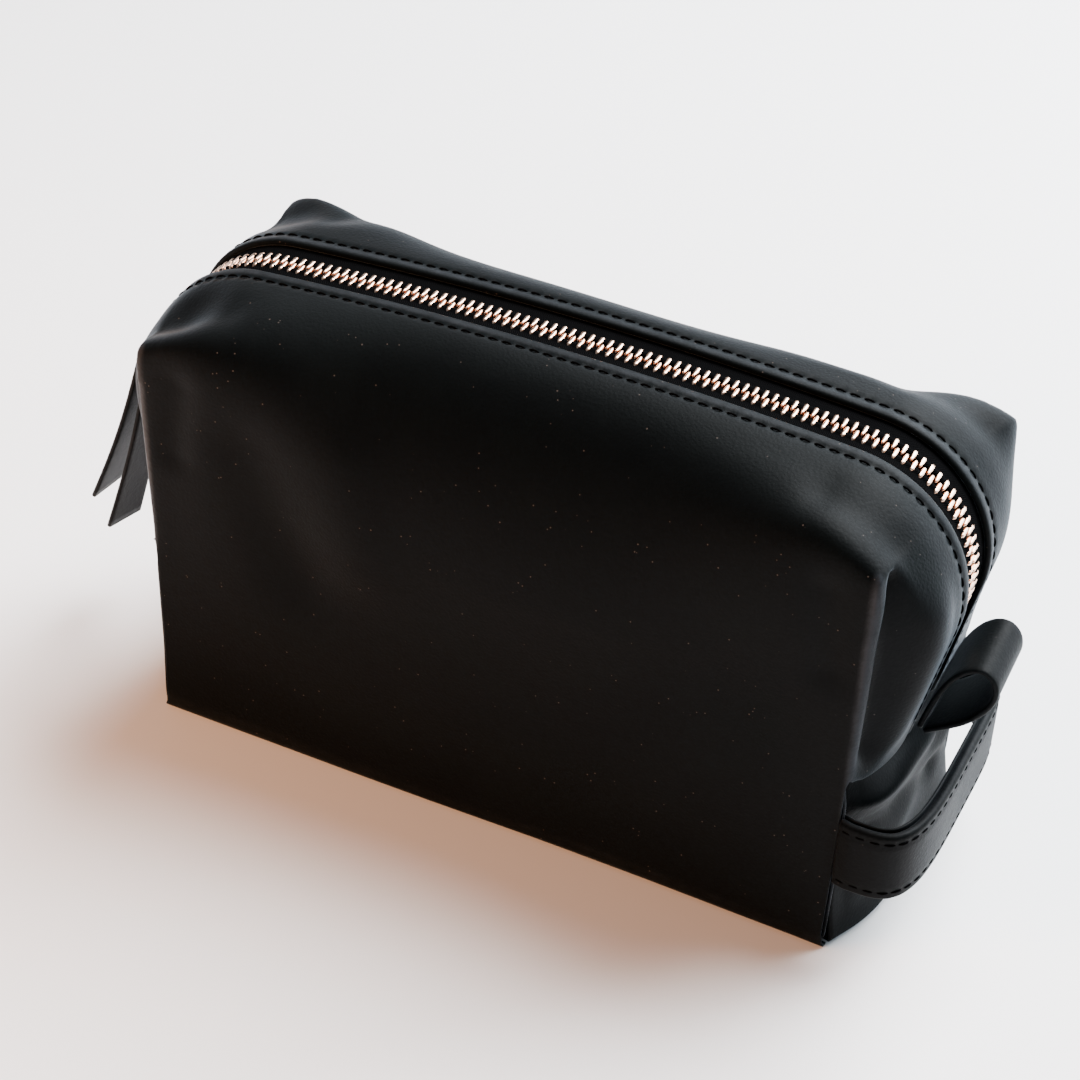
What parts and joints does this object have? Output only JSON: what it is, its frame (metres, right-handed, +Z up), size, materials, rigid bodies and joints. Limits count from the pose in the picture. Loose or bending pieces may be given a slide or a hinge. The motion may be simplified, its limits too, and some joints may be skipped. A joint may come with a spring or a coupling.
{
  "type": "shaving kit bag",
  "caption": "Boxed leather wash bag with a metal zip over the top, a doubled leather pull, an end handle and a leather loop tab.",
  "frame": {"origin": "centre of the base's underside, on the surface the bag stands on", "axes": "+X along the bag's length to the handle end, +Y from the front panel to the back panel, +Z up through the zip"},
  "size_m": [0.3097, 0.0976, 0.1552],
  "materials": {
    "leather": "matt waxed full-grain black leather",
    "strap_leather": "matt waxed black strap leather",
    "lining": "plain woven dark lining",
    "zip_tape": "black herringbone zip tape",
    "zip_metal": "polished rose-gold plating",
    "thread": "black waxed thread"
  },
  "bodies": {
    "shell": {"front_panel": "leather", "back_panel": "leather", "base_gusset": "leather", "front_lining": "lining", "back_lining": "lining", "front_zip_tape": "zip_tape", "back_zip_tape": "zip_tape", "front_teeth": "zip_metal", "back_teeth": "zip_metal", "front_top_stop": "zip_metal", "back_top_stop": "zip_metal", "bottom_stop": "zip_metal", "front_topstitch": "thread", "back_topstitch": "thread"},
    "slider": {"slider_body": "zip_metal", "slider_bridge": "zip_metal"},
    "ring": {"pull_ring": "zip_metal"},
    "pull": {"pull_strap": "strap_leather"},
    "handle": {"handle_outer": "strap_leather", "handle_inner": "strap_leather", "handle_stitch_upper": "thread", "handle_stitch_lower": "thread"},
    "tab": {"loop_tab": "strap_leather"}
  },
  "joints": [
    {"name": "slider_travel", "type": "hinge", "parent": "shell", "child": "slider", "pos_m": [-0.09045, 0, 0.11138], "axis": [0, 1, 0], "range_deg": [0, 80], "deforming": ["front_teeth", "back_teeth"]},
    {"name": "ring_swing", "type": "hinge", "parent": "slider", "child": "ring", "pos_m": [-0.13135, 0, 0.11138], "axis": [0, 1, 0], "range_deg": [-12, 75]},
    {"name": "pull_swing", "type": "hinge", "parent": "ring", "child": "pull", "pos_m": [-0.1416, 0, 0.10113], "axis": [0, 1, 0], "range_deg": [-8, 40]},
    {"name": "handle_flex", "type": "hinge", "parent": "shell", "child": "handle", "pos_m": [0.1168, 0, 0.04], "axis": [0, 1, 0], "range_deg": [-10, 10], "stiffness_Nm_per_rad": 0.15},
    {"name": "tab_flap", "type": "hinge", "parent": "shell", "child": "tab", "pos_m": [0.1233, 0, 0.0635], "axis": [0, 1, 0], "range_deg": [0, 35], "stiffness_Nm_per_rad": 0.02}
  ]
}
